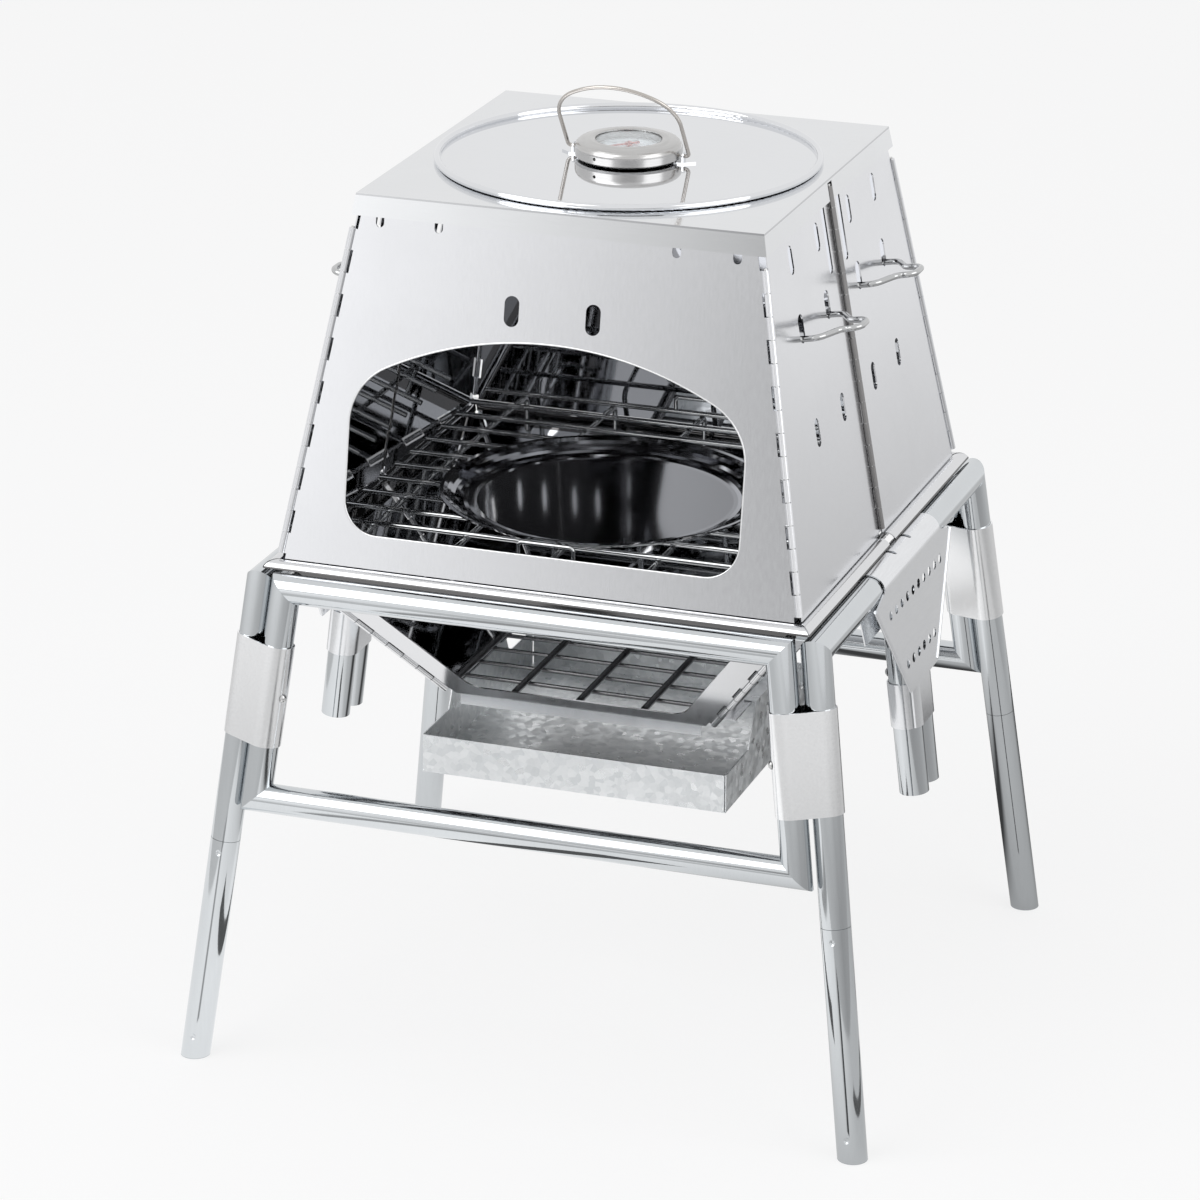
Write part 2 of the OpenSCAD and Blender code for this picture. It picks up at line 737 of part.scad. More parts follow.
// Line of a tube path's mitre plane at each corner; an open path ends square
function mitre_at(p, i, closed) =
  let (
    n = len(p),
    before = unit(p[i] - p[(i + n - 1) % n]),
    after = unit(p[(i + 1) % n] - p[i]),
    along = !closed && i == 0 ? after : !closed && i == n - 1 ? before : unit(before + after))
  [-along[1], along[0]];

// Round bar along a path in the XY plane, with mitred corners; reach is how far its mitre planes are cut.
// Every second length is a little thinner, so that two lengths meet in a clean step
module mitred_bar(p, r, closed, reach) {
  n = len(p);
  for (i = [0 : closed ? n - 1 : n - 2]) {
    bar_r = r - (i % 2) * r / 100;
    a = p[i];
    b = p[(i + 1) % n];
    ma = reach * mitre_at(p, i, closed);
    mb = reach * mitre_at(p, (i + 1) % n, closed);
    along = b - a;
    intersection() {
      translate([a[0], a[1], 0]) rotate([0, 0, atan2(along[1], along[0])])
        translate([-reach, 0, 0]) rotate([0, 90, 0]) cylinder(r = bar_r, h = norm(along) + 2 * reach);
      linear_extrude(4 * r, center = true) polygon([a + ma, a - ma, b - mb, b + mb]);
    }
  }
}

// Stretches an open path at both ends, so that its bore runs out
function stretched(p, by) =
  let (n = len(p))
  concat([p[0] + by * unit(p[0] - p[1])], [for (i = [1 : n - 2]) p[i]],
    [p[n - 1] + by * unit(p[n - 1] - p[n - 2])]);

module loop() color(bright) {
  slope = sqrt(1 + splay_y * splay_y);
  drop = (rail_z - low_rail_z) * slope;
  out = drop * splay_x / slope;
  path = [[-loop_x, 0], [-loop_x - out, -drop], [loop_x + out, -drop], [loop_x, 0]];
  difference() {
    translate([0, -rail_half, rail_z]) rotate([-atan(splay_y), 0, 0]) rotate([90, 0, 0])
      difference() {
        mitred_bar(path, tube_r, true, 2 * tube_d);
        mitred_bar(path, tube_r - tube_wall, true, 2 * tube_d);
        translate([0, -drop, -tube_r - 1]) cylinder(r = 2, h = tube_r, $fn = 24);
      }
    for (s = [0, 1]) mirror([s, 0, 0]) on_sleeve_screw()
      cylinder(r = screw_r + 0.1, h = 8, center = true, $fn = 24);
  }
}

module front_loop() loop();
module rear_loop() mirror([0, 1, 0]) loop();

// Plane of the right side of the stand: Y along the rail, Z up the plane, X out of it
module on_side() translate([rail_half, 0, rail_z]) rotate([0, tilt_y, 0]) children();

module side_frame() color(bright) {
  slope = sqrt(1 + splay_x * splay_x);
  leg = (rail_z - leg_joint_z) * slope;
  post = (rail_z - post_end_z) * slope;
  path = [[-post_y, -post], [-post_y, 0], [-leg_top_y, 0], [-leg_top_y - leg * splay_y / slope, -leg]];
  difference() {
    on_side() rotate([90, 0, 90])
      difference() {
        mitred_bar(path, tube_r, false, 2 * tube_d);
        mitred_bar(stretched(path, 2), tube_r - tube_wall, false, 2 * tube_d);
      }
    on_stop_screw() cylinder(r = screw_r + 0.1, h = 8, center = true, $fn = 24);
  }
}

module side_frame_front_right() side_frame();
module side_frame_rear_right() mirror([0, 1, 0]) side_frame();
module side_frame_front_left() mirror([1, 0, 0]) side_frame();
module side_frame_rear_left() mirror([1, 0, 0]) mirror([0, 1, 0]) side_frame();

// Frame on the front right leg's axis at a height, with Z up the leg
module on_leg(z) translate(leg_at(z)) rotate([tilt_x, tilt_y, 0]) children();

module lower_leg() color(bright) {
  len = leg_joint_z * leg_norm;
  cap = 2.5;
  bore_r = tube_r - tube_wall;
  difference() {
    on_leg(leg_joint_z) {
      translate([0, 0, -len - 5]) cylinder(r = tube_r, h = len + 5 - gap);
      translate([0, 0, -gap - 0.5]) cylinder(r = bore_r - gap, h = neck_len);
    }
    on_leg(leg_joint_z) {
      translate([0, 0, cap + 2 - len]) cylinder(r = bore_r - gap - tube_wall, h = len + neck_len);
      for (z = [-9, 16 - len]) translate([0, -tube_r - 2.6, z]) sphere(r = 3.5, $fn = 24);
    }
    translate([leg_at(0)[0] - 50, leg_at(0)[1] - 50, -30]) cube([100, 100, 30]);
  }
}

module lower_leg_front_right() lower_leg();
module lower_leg_rear_right() mirror([0, 1, 0]) lower_leg();
module lower_leg_front_left() mirror([1, 0, 0]) lower_leg();
module lower_leg_rear_left() mirror([1, 0, 0]) mirror([0, 1, 0]) lower_leg();

// Outline of a band round two tubes, one at the origin and one at the given point
module pair_outline(to, r)
  rotate(atan2(to[1], to[0])) {
    circle(r = r);
    translate([norm(to), 0]) circle(r = r);
    translate([0, -r]) square([norm(to), 2 * r]);
  }

// Axis of a sleeve's locking screw, pointing out of the loop's upright away from the leg
module on_sleeve_screw()
  on_leg(sleeve_mid_z) translate([upright_at[0], upright_at[1], 0])
    rotate([0, 0, atan2(upright_at[1], upright_at[0])]) translate([tube_r, 0, 0])
      rotate([0, 90, 0]) children();

module corner_sleeve() color(steel)
  difference() {
    on_leg(sleeve_mid_z) linear_extrude(sleeve_h, center = true)
      difference() {
        pair_outline(upright_at, tube_r + sleeve_fit + sheet);
        pair_outline(upright_at, tube_r + sleeve_fit);
      }
    on_sleeve_screw() cylinder(r = screw_r + 0.1, h = 8, center = true, $fn = 24);
  }

module corner_sleeve_front_right() corner_sleeve();
module corner_sleeve_rear_right() mirror([0, 1, 0]) corner_sleeve();
module corner_sleeve_front_left() mirror([1, 0, 0]) corner_sleeve();
module corner_sleeve_rear_left() mirror([1, 0, 0]) mirror([0, 1, 0]) corner_sleeve();

// Screw with a domed head that seats on a sheet's face at z = 0
module round_screw(len) {
  translate([0, 0, -len]) cylinder(r = screw_r, h = len + 0.5, $fn = 24);
  intersection() {
    translate([0, 0, -1.4]) sphere(r = 3.6, $fn = 32);
    cylinder(r = 5, h = 4);
  }
}

// Axis of a stop screw in the inner side of a middle post, just above the sleeve of the lock plate
module on_stop_screw()
  on_side() translate([-tube_r, -post_y, 6 - lock_drop]) rotate([0, -90, 0]) children();

module locking_screws() color(wire_steel)
  for (x = [0, 1], y = [0, 1]) mirror([x, 0, 0]) mirror([0, y, 0]) {
    on_sleeve_screw() translate([0, 0, sleeve_fit + sheet]) round_screw(4);
    on_stop_screw() round_screw(4);
  }

// Lock plate: a saddle over the two half rails, a perforated outer face, a short inner wall and a post sleeve
// with an open seam
module lock_plate() color(steel) {
  fit = 0.3;
  inner = tube_r + fit;
  outer = inner + sheet;
  saddle_w = 136;
  shoulder_drop = 7;
  wall_drop = 45;
  wall_low_w = 110;
  sleeve_len = 33;
  seam_w = 1.8;
  hem_r = 1.5;
  hole_d = 7;
  side_drop = lock_drop - shoulder_drop;
  side_turn = atan((lock_w - lock_low_w) / 2 / side_drop);
  hem_len = side_drop / cos(side_turn);
  face_half = [[lock_low_w / 2, -lock_drop - 2], [lock_w / 2, -shoulder_drop], [saddle_w / 2, 0]];
  wall_half = [[wall_low_w / 2, -wall_drop], [saddle_w / 2, 0]];
  on_side() {
    difference() {
      rotate([90, 0, 0]) cylinder(r = outer, h = saddle_w, center = true);
      rotate([90, 0, 0]) cylinder(r = inner, h = saddle_w + 2, center = true);
      translate([-2 * outer, -saddle_w, -4 * outer]) cube([4 * outer, 2 * saddle_w, 4 * outer]);
      for (y = [-18, 18]) translate([-1, y, outer - 3]) rotate([0, 0, 90]) linear_extrude(6) obround(4, 14);
    }
    rotate([90, 0, 90]) {
      translate([0, 0, inner]) linear_extrude(sheet)
        difference() {
          polygon(concat(face_half, mirrored(face_half)));
          for (i = [-4.5 : 4.5]) translate([i * 13.6, -20]) circle(d = hole_d);
          for (i = [-2.5 : 2.5]) translate([i * 13.1, -65.5]) circle(d = hole_d);
        }
      translate([0, 0, -outer]) linear_extrude(sheet) polygon(concat(wall_half, mirrored(wall_half)));
    }
    for (s = [0, 1]) mirror([0, s, 0])
      translate([outer - sheet / 2, lock_w / 2, -shoulder_drop]) rotate([180 - side_turn, 0, 0])
        cylinder(r = hem_r, h = hem_len, $fn = 24);
    translate([0, -post_y, -lock_drop - sleeve_len]) linear_extrude(sleeve_len)
      difference() {
        pair_outline([0, 2 * post_y], outer);
        pair_outline([0, 2 * post_y], inner);
        translate([0, -8 - seam_w]) square([2 * outer, seam_w]);
      }
  }
}

module lock_plate_right() lock_plate();
module lock_plate_left() mirror([1, 0, 0]) lock_plate();

front_loop();
rear_loop();
side_frame_front_left();
side_frame_front_right();
side_frame_rear_left();
side_frame_rear_right();
corner_sleeve_front_left();
corner_sleeve_front_right();
corner_sleeve_rear_left();
corner_sleeve_rear_right();
lock_plate_left();
lock_plate_right();
locking_screws();
lower_leg_front_left();
lower_leg_front_right();
lower_leg_rear_left();
lower_leg_rear_right();
hopper_front_panel();
hopper_rear_panel();
hopper_side_front_left();
hopper_side_front_right();
hopper_side_rear_left();
hopper_side_rear_right();
hopper_hinge_wires();
charcoal_grate_bars();
charcoal_grate_wires();
cooking_grate_rods();
cooking_grate_carriers();
grate_lift_loops();
pizza_pan();
ash_tray();
hood_front_panel();
hood_rear_panel();
hood_side_front_left();
hood_side_front_right();
hood_side_rear_left();
hood_side_rear_right();
hood_hinge_wires();
side_handle_front_left();
side_handle_front_right();
side_handle_rear_left();
side_handle_rear_right();
top_plate();
round_lid();
bail_bracket();
lid_bail();
thermometer_case();
thermometer_dial();
thermometer_needle();
thermometer_glass();
thermometer_probe();
probe_nut();
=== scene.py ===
import json
import math

import bmesh
import bpy
from mathutils import Matrix, Vector


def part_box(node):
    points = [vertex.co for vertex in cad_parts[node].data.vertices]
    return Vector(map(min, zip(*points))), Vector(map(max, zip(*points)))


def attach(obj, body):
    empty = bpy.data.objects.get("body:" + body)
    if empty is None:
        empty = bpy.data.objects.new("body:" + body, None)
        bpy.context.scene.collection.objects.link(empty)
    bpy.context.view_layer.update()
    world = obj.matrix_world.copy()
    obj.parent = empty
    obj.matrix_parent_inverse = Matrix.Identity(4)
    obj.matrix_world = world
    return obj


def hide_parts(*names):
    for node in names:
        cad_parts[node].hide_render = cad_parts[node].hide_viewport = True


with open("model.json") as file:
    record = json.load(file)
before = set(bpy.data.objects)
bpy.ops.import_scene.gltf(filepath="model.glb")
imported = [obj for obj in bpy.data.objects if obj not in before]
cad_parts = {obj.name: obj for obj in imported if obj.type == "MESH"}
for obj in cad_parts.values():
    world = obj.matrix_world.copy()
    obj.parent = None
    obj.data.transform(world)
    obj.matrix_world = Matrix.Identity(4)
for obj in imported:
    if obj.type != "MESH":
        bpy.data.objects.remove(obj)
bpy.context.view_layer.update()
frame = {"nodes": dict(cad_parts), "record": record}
nodes = frame["nodes"]
scene = bpy.context.scene
print("frame loaded:", len(nodes), "pieces")

mm = 0.001


# mesh helpers

def newObject(name, bm):
    mesh = bpy.data.meshes.new(name)
    bm.to_mesh(mesh)
    bm.free()
    obj = bpy.data.objects.new(name, mesh)
    scene.collection.objects.link(obj)
    return obj


def addPiece(name, bm, body, material, smooth=True):
    bmesh.ops.recalc_face_normals(bm, faces=bm.faces)
    piece = newObject(name, bm)
    for poly in piece.data.polygons:
        poly.use_smooth = smooth
    piece.data.materials.append(material)
    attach(piece, body)
    return piece


def roundedPath(points, radii, stepDeg):
    # corners of a path, bent to the given radii
    path = [points[0]]
    for before, at, after, radius in zip(points, points[1:], points[2:], radii):
        inward = (at - before).normalized()
        outward = (after - at).normalized()
        turn = inward.angle(outward)
        start = at - inward * radius * math.tan(turn / 2)
        side = (outward - inward * inward.dot(outward)).normalized()
        centre = start + side * radius
        steps = max(2, math.ceil(math.degrees(turn) / stepDeg))
        for i in range(steps + 1):
            a = turn * i / steps
            path.append(centre - side * radius * math.cos(a) + inward * radius * math.sin(a))
    path.append(points[-1])
    return path


wireEnd = {"flat": 0.7, "rise": 0.3}  # blunted end of a cut wire, in shares of its radius


def sweepTube(bm, path, radius, sides, closed=False):
    # round wire along a path, with rings carried along without twist
    count = len(path)
    tangents = []
    for i in range(count):
        a = path[(i - 1) % count] if closed or i else path[0]
        b = path[(i + 1) % count] if closed or i < count - 1 else path[-1]
        tangents.append((b - a).normalized())
    normal = tangents[0].orthogonal().normalized()
    rings = []
    for i in range(count):
        if i:
            normal = (normal - tangents[i] * normal.dot(tangents[i])).normalized()
        binormal = tangents[i].cross(normal)
        rings.append([bm.verts.new(path[i] + (normal * math.cos(t) + binormal * math.sin(t)) * radius)
                      for t in (2 * math.pi * k / sides for k in range(sides))])

    def skin(a, b):
        for k in range(sides):
            bm.faces.new((a[k], a[(k + 1) % sides], b[(k + 1) % sides], b[k]))

    for i in range(count if closed else count - 1):
        skin(rings[i], rings[(i + 1) % count])
    if closed:
        return
    for ring, way, at in ((rings[0], -tangents[0], path[0]), (rings[-1], tangents[-1], path[-1])):
        rise = way * radius * wireEnd["rise"]
        inner = [bm.verts.new(at + (v.co - at) * wireEnd["flat"] + rise) for v in ring]
        skin(ring, inner)
        bm.faces.new(inner)


# shader helpers

def link(tree, source, target):
    tree.links.new(source, target)


def feed(tree, value, socket):
    # a number or colour is set on the socket, an output is linked to it
    if isinstance(value, (int, float, tuple)):
        socket.default_value = value
    else:
        link(tree, value, socket)


def addNode(tree, kind, **values):
    node = tree.nodes.new(kind)
    for key, value in values.items():
        setattr(node, key, value)
    return node


def mathNode(tree, operation, a, b=None):
    node = addNode(tree, "ShaderNodeMath", operation=operation)
    feed(tree, a, node.inputs[0])
    if b is not None:
        feed(tree, b, node.inputs[1])
    return node.outputs[0]


mixSockets = {"FLOAT": (2, 3, 0), "RGBA": (6, 7, 2)}  # first and second input, output


def mixNode(tree, kind, factor, a, b, blend="MIX"):
    node = addNode(tree, "ShaderNodeMix", data_type=kind, blend_type=blend)
    first, second, result = mixSockets[kind]
    feed(tree, factor, node.inputs[0])
    feed(tree, a, node.inputs[first])
    feed(tree, b, node.inputs[second])
    return node.outputs[result]


def noiseNode(tree, place, scale, detail=2):
    node = addNode(tree, "ShaderNodeTexNoise")
    node.inputs["Scale"].default_value = scale
    node.inputs["Detail"].default_value = detail
    link(tree, place, node.inputs["Vector"])
    return node.outputs[0]


def objectPlace(tree):
    return addNode(tree, "ShaderNodeTexCoord").outputs["Object"]


def splitVector(tree, vector):
    node = addNode(tree, "ShaderNodeSeparateXYZ")
    link(tree, vector, node.inputs[0])
    return node.outputs


def newGroup(name, inputs, outputs):
    tree = bpy.data.node_groups.new(name, "ShaderNodeTree")
    for label, kind, value in inputs:
        socket = tree.interface.new_socket(label, in_out="INPUT", socket_type=kind)
        socket.default_value = value
    for label, kind in outputs:
        tree.interface.new_socket(label, in_out="OUTPUT", socket_type=kind)
    return tree, tree.nodes.new("NodeGroupInput"), tree.nodes.new("NodeGroupOutput")


colorSocket, floatSocket, vectorSocket = "NodeSocketColor", "NodeSocketFloat", "NodeSocketVector"

rolledSheet = {"smudgeScale": 14, "smudgeDetail": 4, "smudgeFrom": 0.45, "smudgeTo": 0.75, "smudgeDepth": 0.3,
               "grainRough": 0.5, "waveScale": 5, "waveDepth": 0.004, "grainDepth": 0.00002}


def makeSheetFinish(look):
    # rolled sheet: fine grain along one direction, faint smudges, slow waves in the reflections
    tree, inp, out = newGroup("sheetFinish", [
        ("Tint", colorSocket, (0.8, 0.8, 0.8, 1)), ("Grain Stretch", vectorSocket, (900, 900, 40)),
        ("Grain", floatSocket, 0.1), ("Smudge", floatSocket, 0.1), ("Smooth", floatSocket, 0.12),
        ("Rough", floatSocket, 0.22), ("Wave", floatSocket, 0.1)],
        [("Color", colorSocket), ("Roughness", floatSocket), ("Normal", vectorSocket)])
    place = objectPlace(tree)
    stretch = addNode(tree, "ShaderNodeVectorMath", operation="MULTIPLY")
    link(tree, place, stretch.inputs[0])
    link(tree, inp.outputs["Grain Stretch"], stretch.inputs[1])
    grain = noiseNode(tree, stretch.outputs[0], 1)
    smudge = noiseNode(tree, place, look["smudgeScale"], look["smudgeDetail"])
    wave = noiseNode(tree, place, look["waveScale"], 0)
    spots = addNode(tree, "ShaderNodeMapRange")
    spots.inputs["From Min"].default_value = look["smudgeFrom"]
    spots.inputs["From Max"].default_value = look["smudgeTo"]
    link(tree, smudge, spots.inputs["Value"])
    darker = mathNode(tree, "MULTIPLY", spots.outputs[0], inp.outputs["Smudge"])
    lines = mathNode(tree, "MULTIPLY", mathNode(tree, "SUBTRACT", grain, 0.5), inp.outputs["Grain"])
    level = mathNode(tree, "SUBTRACT", mathNode(tree, "ADD", 1.0, lines),
                     mathNode(tree, "MULTIPLY", darker, look["smudgeDepth"]))
    tint = addNode(tree, "ShaderNodeVectorMath", operation="SCALE")
    link(tree, inp.outputs["Tint"], tint.inputs[0])
    link(tree, level, tint.inputs["Scale"])
    link(tree, tint.outputs[0], out.inputs["Color"])
    dull = mathNode(tree, "ADD", darker, mathNode(tree, "MULTIPLY", grain, look["grainRough"]))
    roughness = mixNode(tree, "FLOAT", dull, inp.outputs["Smooth"], inp.outputs["Rough"])
    link(tree, roughness, out.inputs["Roughness"])
    slow = addNode(tree, "ShaderNodeBump")
    slow.inputs["Distance"].default_value = look["waveDepth"]
    link(tree, inp.outputs["Wave"], slow.inputs["Strength"])
    link(tree, wave, slow.inputs["Height"])
    fine = addNode(tree, "ShaderNodeBump")
    fine.inputs["Distance"].default_value = look["grainDepth"]
    link(tree, inp.outputs["Grain"], fine.inputs["Strength"])
    link(tree, grain, fine.inputs["Height"])
    link(tree, slow.outputs[0], fine.inputs["Normal"])
    link(tree, fine.outputs[0], out.inputs["Normal"])
    return tree


insideFacing = -0.35  # how far a wall's face has to look inwards


def makeWallSide():
    # 1 on the faces of a square-plan wall that look towards the oven's middle
    tree, _, out = newGroup("wallSide", [], [("Inside", floatSocket)])
    coords = addNode(tree, "ShaderNodeTexCoord")
    place = splitVector(tree, coords.outputs["Object"])
    facing = splitVector(tree, coords.outputs["Normal"])
    alongX = mathNode(tree, "MULTIPLY", facing[0], mathNode(tree, "SIGN", place[0]))
    alongY = mathNode(tree, "MULTIPLY", facing[1], mathNode(tree, "SIGN", place[1]))
    endWall = mathNode(tree, "GREATER_THAN", mathNode(tree, "ABSOLUTE", place[1]),
                       mathNode(tree, "ABSOLUTE", place[0]))
    outward = mixNode(tree, "FLOAT", endWall, alongX, alongY)
    link(tree, mathNode(tree, "LESS_THAN", outward, insideFacing), out.inputs["Inside"])
    return tree


def makeBand():
    # 1 where the distance along one axis, taken without its sign, lies between two values
    tree, inp, out = newGroup("band", [("Along", vectorSocket, (0, 0, 1)), ("Low", floatSocket, 0),
                                       ("High", floatSocket, 1)], [("Mask", floatSocket)])
    along = addNode(tree, "ShaderNodeVectorMath", operation="DOT_PRODUCT")
    link(tree, objectPlace(tree), along.inputs[0])
    link(tree, inp.outputs["Along"], along.inputs[1])
    distance = mathNode(tree, "ABSOLUTE", along.outputs["Value"])
    link(tree, mathNode(tree, "MULTIPLY", mathNode(tree, "GREATER_THAN", distance, inp.outputs["Low"]),
                        mathNode(tree, "LESS_THAN", distance, inp.outputs["High"])), out.inputs["Mask"])
    return tree


zincCrystals = {"fleckScale": 420, "cellShare": 0.65, "fleckShare": 0.35, "rough": 0.26, "roughSpread": 0.2,
                "bump": 0.25, "depth": 0.0003}


def makeSpangle(look):
    # zinc crystals of a galvanised sheet
    tree, inp, out = newGroup("spangle", [
        ("Dark", colorSocket, (0.4, 0.42, 0.44, 1)), ("Light", colorSocket, (0.8, 0.82, 0.84, 1)),
        ("Scale", floatSocket, 160)],
        [("Color", colorSocket), ("Roughness", floatSocket), ("Normal", vectorSocket)])
    place = objectPlace(tree)
    cells = addNode(tree, "ShaderNodeTexVoronoi")
    link(tree, place, cells.inputs["Vector"])
    link(tree, inp.outputs["Scale"], cells.inputs["Scale"])
    level = addNode(tree, "ShaderNodeSeparateColor")
    link(tree, cells.outputs["Color"], level.inputs[0])
    fleck = noiseNode(tree, place, look["fleckScale"])
    shade = mathNode(tree, "ADD", mathNode(tree, "MULTIPLY", level.outputs[0], look["cellShare"]),
                     mathNode(tree, "MULTIPLY", fleck, look["fleckShare"]))
    link(tree, mixNode(tree, "RGBA", shade, inp.outputs["Dark"], inp.outputs["Light"]), out.inputs["Color"])
    spread = mathNode(tree, "MULTIPLY", level.outputs[1], look["roughSpread"])
    link(tree, mathNode(tree, "ADD", look["rough"], spread), out.inputs["Roughness"])
    bump = addNode(tree, "ShaderNodeBump")
    bump.inputs["Strength"].default_value = look["bump"]
    bump.inputs["Distance"].default_value = look["depth"]
    link(tree, shade, bump.inputs["Height"])
    link(tree, bump.outputs[0], out.inputs["Normal"])
    return tree


sheetFinish = makeSheetFinish(rolledSheet)
wallSide = makeWallSide()
band = makeBand()
spangle = makeSpangle(zincCrystals)
print("shader groups made")


# finishes

def newMaterial(name):
    material = bpy.data.materials.new(name)
    material.use_nodes = True
    return material, material.node_tree, material.node_tree.nodes["Principled BSDF"]


def placeGroup(tree, group, **values):
    node = addNode(tree, "ShaderNodeGroup", node_tree=group)
    for key, value in values.items():
        node.inputs[key.replace("_", " ")].default_value = value
    return node


def makeSteel(name, tint, smooth, rough, grain, smudge, wave, stretch=(900, 900, 40), insidePaintedShadeAndPolish=None,
              paintedShadeStripe=None):
    material, tree, shader = newMaterial(name)
    finish = placeGroup(tree, sheetFinish, Tint=tint + (1,), Grain_Stretch=stretch, Grain=grain,
                        Smudge=smudge, Smooth=smooth, Rough=rough, Wave=wave)
    shader.inputs["Metallic"].default_value = 1
    color, roughness = finish.outputs["Color"], finish.outputs["Roughness"]
    shade = (1, 1, 1, 1)
    # painted shade: faces of the walls that look inwards are multiplied by a darker shade colour, and their
    # roughness is lowered
    if insidePaintedShadeAndPolish:
        side = placeGroup(tree, wallSide).outputs["Inside"]
        shade = mixNode(tree, "RGBA", side, shade, insidePaintedShadeAndPolish["shade"] + (1,))
        keep = mathNode(tree, "SUBTRACT", 1.0, mathNode(tree, "MULTIPLY", side, insidePaintedShadeAndPolish["polish"]))
        roughness = mathNode(tree, "MULTIPLY", roughness, keep)
    # painted shade: within the band the colour is multiplied by the stripe's darker shade colour
    if paintedShadeStripe:
        mask = placeGroup(tree, band, Along=paintedShadeStripe["along"], Low=paintedShadeStripe["low"], High=paintedShadeStripe["high"])
        shade = mixNode(tree, "RGBA", mask.outputs["Mask"], shade, paintedShadeStripe["shade"] + (1,))
    if insidePaintedShadeAndPolish or paintedShadeStripe:
        color = mixNode(tree, "RGBA", 1, color, shade, "MULTIPLY")
    link(tree, color, shader.inputs["Base Color"])
    link(tree, roughness, shader.inputs["Roughness"])
    link(tree, finish.outputs["Normal"], shader.inputs["Normal"])
    return material


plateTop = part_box("top_plate")[1].z

# painted shade: the hood and the bowl are darker on the faces of their walls that look inwards; stripes of
# painted shade darken the hood's fold barrels and the underside of the bowl's rim, and draw a grey line along
# the bend of the top plate
steelLooks = {
    "hoodSteel": dict(tint=(0.80, 0.807, 0.83), smooth=0.13, rough=0.22, grain=0.06, smudge=0.10, wave=0.01,
                      insidePaintedShadeAndPolish={"shade": (0.64, 0.645, 0.655), "polish": 0.85},
                      # painted shade in the creases of the fold barrels
                      paintedShadeStripe={"along": (0, 1, 0), "low": -1, "high": 0.0031, "shade": (0.36, 0.35, 0.34)}),
    "bowlSteel": dict(tint=(0.76, 0.765, 0.78), smooth=0.13, rough=0.22, grain=0.06, smudge=0.12, wave=0.01,
                      insidePaintedShadeAndPolish={"shade": (0.62, 0.625, 0.635), "polish": 0.8},
                      # painted shade on the underside of the rolled rim
                      paintedShadeStripe={"along": (0, 0, 1), "low": 0.3535, "high": 0.364,
                              "shade": (0.16, 0.157, 0.155)}),
    "topSteel": dict(tint=(0.80, 0.81, 0.825), smooth=0.08, rough=0.14, grain=0.04, smudge=0.08, wave=0.03,
                     stretch=(40, 900, 900),
                     # painted shade: a thin grey line along the bend
                     paintedShadeStripe={"along": (0, 0, 1), "low": plateTop - 0.0014, "high": plateTop - 0.0001,
                             "shade": (0.72, 0.72, 0.725)}),
    "lidSteel": dict(tint=(0.79, 0.80, 0.82), smooth=0.03, rough=0.07, grain=0.03, smudge=0.05, wave=0.03,
                     stretch=(40, 900, 900)),
    "tubeSteel": dict(tint=(0.665, 0.69, 0.71), smooth=0.05, rough=0.10, grain=0.05, smudge=0.12, wave=0.02,
                      stretch=(500, 500, 60)),
    "lockSteel": dict(tint=(0.84, 0.85, 0.87), smooth=0.14, rough=0.24, grain=0.10, smudge=0.12, wave=0.03,
                      stretch=(700, 60, 700)),
    # a brighter copy of lockSteel for the corner sleeves: painted light
    "sleevePaintedLightSteel": dict(tint=(0.94, 0.945, 0.955), smooth=0.14, rough=0.24, grain=0.10, smudge=0.12,
                        wave=0.03, stretch=(700, 60, 700)),
    "hingeSteel": dict(tint=(0.70, 0.70, 0.70), smooth=0.15, rough=0.25, grain=0.1, smudge=0.2, wave=0),
    "edgeSteel": dict(tint=(0.86, 0.865, 0.875), smooth=0.2, rough=0.3, grain=0.05, smudge=0.1, wave=0),
    "handleSteel": dict(tint=(0.56, 0.565, 0.57), smooth=0.05, rough=0.10, grain=0.05, smudge=0.15, wave=0),
    "bailSteel": dict(tint=(0.55, 0.52, 0.49), smooth=0.16, rough=0.26, grain=0.1, smudge=0.2, wave=0),
    "grateSteel": dict(tint=(0.62, 0.63, 0.64), smooth=0.07, rough=0.13, grain=0.05, smudge=0.2, wave=0),
    "charcoalSteel": dict(tint=(0.30, 0.30, 0.31), smooth=0.18, rough=0.3, grain=0.1, smudge=0.3, wave=0),
    "screwSteel": dict(tint=(0.66, 0.66, 0.66), smooth=0.14, rough=0.24, grain=0.1, smudge=0.2, wave=0),
    "caseSteel": dict(tint=(0.56, 0.555, 0.55), smooth=0.20, rough=0.30, grain=0.22, smudge=0.08, wave=0,
                      stretch=(60, 60, 2600)),
}
steels = {name: makeSteel(name, **look) for name, look in steelLooks.items()}

panLook = {"deep": (0.58, 0.585, 0.60, 1), "lifted": (0.64, 0.645, 0.66, 1), "speckScale": 300,
           "speckDetail": 5, "rough": 0.05, "roughSpread": 0.04}


def makePanBlack(look):
    material, tree, shader = newMaterial("panBlack")
    speck = noiseNode(tree, objectPlace(tree), look["speckScale"], look["speckDetail"])
    link(tree, mixNode(tree, "RGBA", speck, look["deep"], look["lifted"]), shader.inputs["Base Color"])
    spread = mathNode(tree, "MULTIPLY", speck, look["roughSpread"])
    link(tree, mathNode(tree, "ADD", look["rough"], spread), shader.inputs["Roughness"])
    shader.inputs["Metallic"].default_value = 1
    return material


trayLook = {"dark": (0.70, 0.725, 0.74, 1), "light": (0.93, 0.945, 0.955, 1), "scale": 210}


